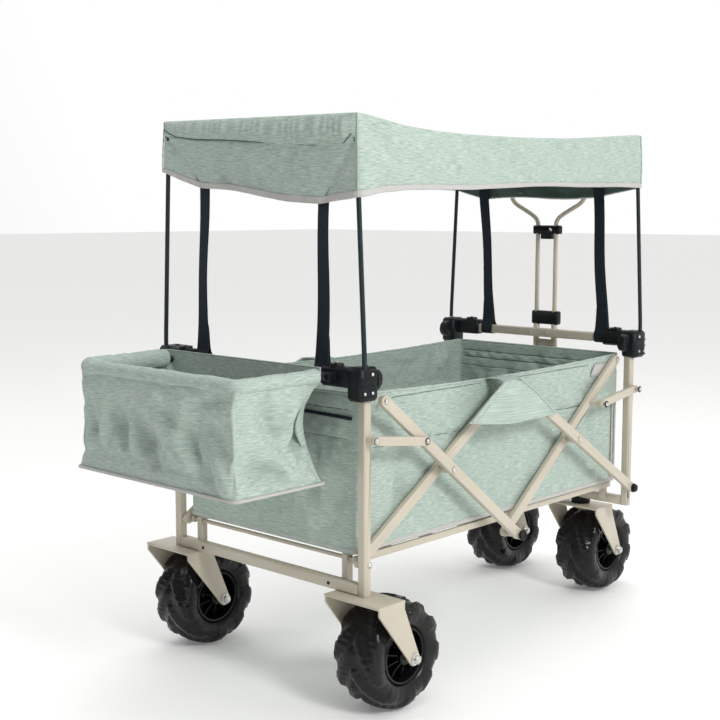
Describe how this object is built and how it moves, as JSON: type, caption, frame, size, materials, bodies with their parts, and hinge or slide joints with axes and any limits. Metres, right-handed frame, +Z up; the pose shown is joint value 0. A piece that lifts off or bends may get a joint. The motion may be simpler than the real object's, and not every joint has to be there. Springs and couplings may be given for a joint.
{
  "type": "folding wagon",
  "caption": "Folding beach wagon with fabric tub, canopy on slim poles, rear fabric basket, wide all-terrain wheels and a telescoping pull handle.",
  "frame": {"origin": "centre of the bounding box at ground level, midway between the two sides", "axes": "+X forward towards the pull handle, +Y left, +Z up"},
  "size_m": [1.318, 0.678, 1.0815],
  "materials": {
    "rear_post_L": "satin powder coat",
    "rear_post_R": "satin powder coat",
    "rear_bracket_L": "fine moulded grain",
    "rear_bracket_R": "fine moulded grain",
    "rear_strap_L": "woven webbing",
    "rear_strap_R": "woven webbing",
    "rear_fork_L": "satin powder coat",
    "rear_fork_R": "satin powder coat",
    "rear_axle_L": "zinc plated",
    "rear_axle_R": "zinc plated",
    "rear_top_rail": "satin powder coat",
    "rear_bottom_rail": "satin powder coat",
    "rear_canopy_poles": "satin dark paint",
    "tub": "heathered woven polyester",
    "floor_board": "fabric-covered board",
    "canopy": "heathered woven polyester",
    "front_post_L": "satin powder coat",
    "front_post_R": "satin powder coat",
    "front_bracket_L": "fine moulded grain",
    "front_bracket_R": "fine moulded grain",
    "front_strap_L": "woven webbing",
    "front_strap_R": "woven webbing",
    "front_top_rail": "satin powder coat",
    "front_bottom_rail": "satin powder coat",
    "front_canopy_poles": "satin dark paint",
    "swivel_bearing_L": "fine moulded grain",
    "swivel_bearing_R": "fine moulded grain",
    "rear_inner_bar_L": "satin powder coat",
    "rear_outer_bar_L": "satin powder coat",
    "front_outer_bar_L": "satin powder coat",
    "front_inner_bar_L": "satin powder coat",
    "rear_link_L": "satin powder coat",
    "front_link_L": "satin powder coat",
    "rear_tyre_L": "matt moulded rubber-like plastic",
    "rear_hub_L": "fine moulded grain",
    "front_tyre_L": "matt moulded rubber-like plastic",
    "front_hub_L": "fine moulded grain",
    "caster_fork_L": "satin powder coat",
    "caster_axle_L": "zinc plated",
    "rear_inner_bar_R": "satin powder coat",
    "rear_outer_bar_R": "satin powder coat",
    "front_outer_bar_R": "satin powder coat",
    "front_inner_bar_R": "satin powder coat",
    "rear_link_R": "satin powder coat",
    "front_link_R": "satin powder coat",
    "rear_tyre_R": "matt moulded rubber-like plastic",
    "rear_hub_R": "fine moulded grain",
    "front_tyre_R": "matt moulded rubber-like plastic",
    "front_hub_R": "fine moulded grain",
    "caster_fork_R": "satin powder coat",
    "caster_axle_R": "zinc plated",
    "rear_floor_frame": "satin powder coat",
    "front_floor_frame": "satin powder coat",
    "handle_lower": "satin powder coat",
    "handle_sleeve": "fine moulded grain",
    "handle_upper": "satin powder coat",
    "handle_clamp": "fine moulded grain",
    "handle_grip": "fine moulded grain",
    "basket_frame": "satin powder coat",
    "basket": "heathered woven polyester"
  },
  "bodies": {
    "rear_frame": {"rear_post_L": "rear_post_L", "rear_post_R": "rear_post_R", "rear_bracket_L": "rear_bracket_L", "rear_bracket_R": "rear_bracket_R", "rear_strap_L": "rear_strap_L", "rear_strap_R": "rear_strap_R", "rear_fork_L": "rear_fork_L", "rear_fork_R": "rear_fork_R", "rear_axle_L": "rear_axle_L", "rear_axle_R": "rear_axle_R", "rear_top_rail": "rear_top_rail", "rear_bottom_rail": "rear_bottom_rail", "rear_canopy_poles": "rear_canopy_poles", "tub": "tub", "floor_board": "floor_board", "canopy": "canopy"},
    "front_frame": {"front_post_L": "front_post_L", "front_post_R": "front_post_R", "front_bracket_L": "front_bracket_L", "front_bracket_R": "front_bracket_R", "front_strap_L": "front_strap_L", "front_strap_R": "front_strap_R", "front_top_rail": "front_top_rail", "front_bottom_rail": "front_bottom_rail", "front_canopy_poles": "front_canopy_poles", "swivel_bearing_L": "swivel_bearing_L", "swivel_bearing_R": "swivel_bearing_R"},
    "rear_inner_bar_L": {"rear_inner_bar_L": "rear_inner_bar_L"},
    "rear_outer_bar_L": {"rear_outer_bar_L": "rear_outer_bar_L"},
    "front_outer_bar_L": {"front_outer_bar_L": "front_outer_bar_L"},
    "front_inner_bar_L": {"front_inner_bar_L": "front_inner_bar_L"},
    "rear_link_L": {"rear_link_L": "rear_link_L"},
    "front_link_L": {"front_link_L": "front_link_L"},
    "rear_wheel_L": {"rear_tyre_L": "rear_tyre_L", "rear_hub_L": "rear_hub_L"},
    "front_wheel_L": {"front_tyre_L": "front_tyre_L", "front_hub_L": "front_hub_L"},
    "caster_L": {"caster_fork_L": "caster_fork_L", "caster_axle_L": "caster_axle_L"},
    "rear_inner_bar_R": {"rear_inner_bar_R": "rear_inner_bar_R"},
    "rear_outer_bar_R": {"rear_outer_bar_R": "rear_outer_bar_R"},
    "front_outer_bar_R": {"front_outer_bar_R": "front_outer_bar_R"},
    "front_inner_bar_R": {"front_inner_bar_R": "front_inner_bar_R"},
    "rear_link_R": {"rear_link_R": "rear_link_R"},
    "front_link_R": {"front_link_R": "front_link_R"},
    "rear_wheel_R": {"rear_tyre_R": "rear_tyre_R", "rear_hub_R": "rear_hub_R"},
    "front_wheel_R": {"front_tyre_R": "front_tyre_R", "front_hub_R": "front_hub_R"},
    "caster_R": {"caster_fork_R": "caster_fork_R", "caster_axle_R": "caster_axle_R"},
    "rear_floor": {"rear_floor_frame": "rear_floor_frame"},
    "front_floor": {"front_floor_frame": "front_floor_frame"},
    "handle_base": {"handle_lower": "handle_lower", "handle_sleeve": "handle_sleeve"},
    "handle_extension": {"handle_upper": "handle_upper", "handle_clamp": "handle_clamp", "handle_grip": "handle_grip"},
    "basket_arm": {"basket_frame": "basket_frame", "basket": "basket"}
  },
  "joints": [
    {"name": "fold", "type": "hinge", "parent": "rear_frame", "child": "rear_inner_bar_R", "pos_m": [-0.397, 0, 0.279], "axis": [0, -1, 0], "range_deg": [0, 38.6], "deforming": ["tub", "floor_board", "canopy"]},
    {"name": "rear_cross_R", "type": "hinge", "parent": "rear_inner_bar_R", "child": "rear_outer_bar_R", "pos_m": [-0.1726, 0, 0.4208], "axis": [0, -1, 0], "range_deg": [-73.74, 0.5]},
    {"name": "upper_middle_R", "type": "hinge", "parent": "rear_inner_bar_R", "child": "front_outer_bar_R", "pos_m": [0.044, 0, 0.559], "axis": [0, -1, 0], "range_deg": [-77.7, 0.5]},
    {"name": "front_cross_R", "type": "hinge", "parent": "front_outer_bar_R", "child": "front_inner_bar_R", "pos_m": [0.2606, 0, 0.4208], "axis": [0, -1, 0], "range_deg": [-0.5, 73.74]},
    {"name": "rear_link_R_pivot", "type": "hinge", "parent": "rear_frame", "child": "rear_link_R", "pos_m": [-0.401, 0, 0.508], "axis": [0, -1, 0], "range_deg": [-0.5, 74.27]},
    {"name": "rear_inner_bar_L_pivot", "type": "hinge", "parent": "rear_frame", "child": "rear_inner_bar_L", "pos_m": [-0.397, 0, 0.279], "axis": [0, -1, 0], "range_deg": [-0.5, 39.1]},
    {"name": "rear_cross_L", "type": "hinge", "parent": "rear_inner_bar_L", "child": "rear_outer_bar_L", "pos_m": [-0.1726, 0, 0.4208], "axis": [0, -1, 0], "range_deg": [-73.74, 0.5]},
    {"name": "upper_middle_L", "type": "hinge", "parent": "rear_inner_bar_L", "child": "front_outer_bar_L", "pos_m": [0.044, 0, 0.559], "axis": [0, -1, 0], "range_deg": [-77.7, 0.5]},
    {"name": "front_cross_L", "type": "hinge", "parent": "front_outer_bar_L", "child": "front_inner_bar_L", "pos_m": [0.2606, 0, 0.4208], "axis": [0, -1, 0], "range_deg": [-0.5, 73.74]},
    {"name": "rear_link_L_pivot", "type": "hinge", "parent": "rear_frame", "child": "rear_link_L", "pos_m": [-0.401, 0, 0.508], "axis": [0, -1, 0], "range_deg": [-0.5, 74.27]},
    {"name": "front_foot", "type": "hinge", "parent": "front_outer_bar_R", "child": "front_frame", "pos_m": [0.485, 0, 0.279], "axis": [0, -1, 0], "range_deg": [-0.5, 39.1]},
    {"name": "front_link_R_pivot", "type": "hinge", "parent": "front_frame", "child": "front_link_R", "pos_m": [0.489, 0, 0.508], "axis": [0, -1, 0], "range_deg": [-74.27, 0.5]},
    {"name": "front_link_L_pivot", "type": "hinge", "parent": "front_frame", "child": "front_link_L", "pos_m": [0.489, 0, 0.508], "axis": [0, -1, 0], "range_deg": [-74.27, 0.5]},
    {"name": "rear_floor_hinge", "type": "hinge", "parent": "rear_frame", "child": "rear_floor", "pos_m": [-0.389, 0, 0.28], "axis": [0, -1, 0], "range_deg": [-0.5, 68.54]},
    {"name": "front_floor_hinge", "type": "hinge", "parent": "front_frame", "child": "front_floor", "pos_m": [0.477, 0, 0.28], "axis": [0, -1, 0], "range_deg": [-68.54, 0.5]},
    {"name": "rear_wheel_R_spin", "type": "hinge", "parent": "rear_frame", "child": "rear_wheel_R", "pos_m": [-0.341, -0.261, 0.105], "axis": [0, 1, 0], "continuous": true},
    {"name": "caster_R_swivel", "type": "hinge", "parent": "front_frame", "child": "caster_R", "pos_m": [0.494, -0.135, 0.221], "axis": [0, 0, 1], "continuous": true},
    {"name": "front_wheel_R_spin", "type": "hinge", "parent": "caster_R", "child": "front_wheel_R", "pos_m": [0.554, -0.135, 0.105], "axis": [0, 1, 0], "continuous": true},
    {"name": "rear_wheel_L_spin", "type": "hinge", "parent": "rear_frame", "child": "rear_wheel_L", "pos_m": [-0.341, 0.261, 0.105], "axis": [0, 1, 0], "continuous": true},
    {"name": "caster_L_swivel", "type": "hinge", "parent": "front_frame", "child": "caster_L", "pos_m": [0.494, 0.135, 0.221], "axis": [0, 0, 1], "continuous": true},
    {"name": "front_wheel_L_spin", "type": "hinge", "parent": "caster_L", "child": "front_wheel_L", "pos_m": [0.554, 0.135, 0.105], "axis": [0, 1, 0], "continuous": true},
    {"name": "handle_tilt", "type": "hinge", "parent": "front_frame", "child": "handle_base", "pos_m": [0.535, 0, 0.25], "axis": [0, 1, 0], "range_deg": [0, 100]},
    {"name": "handle_slide", "type": "slide", "parent": "handle_base", "child": "handle_extension", "axis": [0, 0, 1], "range_m": [-0.17, 0.12]},
    {"name": "basket_lift", "type": "hinge", "parent": "rear_frame", "child": "basket_arm", "pos_m": [-0.445, 0, 0.62], "axis": [0, 1, 0], "range_deg": [0, 80], "deforming": ["basket"]}
  ],
  "couplings": [
    {"joint": "rear_cross_R", "follows": "fold", "ratio": -1.8974},
    {"joint": "upper_middle_R", "follows": "fold", "ratio": -2},
    {"joint": "front_cross_R", "follows": "fold", "ratio": 1.8974},
    {"joint": "rear_link_R_pivot", "follows": "fold", "ratio": 1.911},
    {"joint": "rear_inner_bar_L_pivot", "follows": "fold", "ratio": 1},
    {"joint": "rear_cross_L", "follows": "fold", "ratio": -1.8974},
    {"joint": "upper_middle_L", "follows": "fold", "ratio": -2},
    {"joint": "front_cross_L", "follows": "fold", "ratio": 1.8974},
    {"joint": "rear_link_L_pivot", "follows": "fold", "ratio": 1.911},
    {"joint": "front_foot", "follows": "fold", "ratio": 1},
    {"joint": "front_link_R_pivot", "follows": "fold", "ratio": -1.911},
    {"joint": "front_link_L_pivot", "follows": "fold", "ratio": -1.911},
    {"joint": "rear_floor_hinge", "follows": "fold", "ratio": 1.7626},
    {"joint": "front_floor_hinge", "follows": "fold", "ratio": -1.7626}
  ]
}
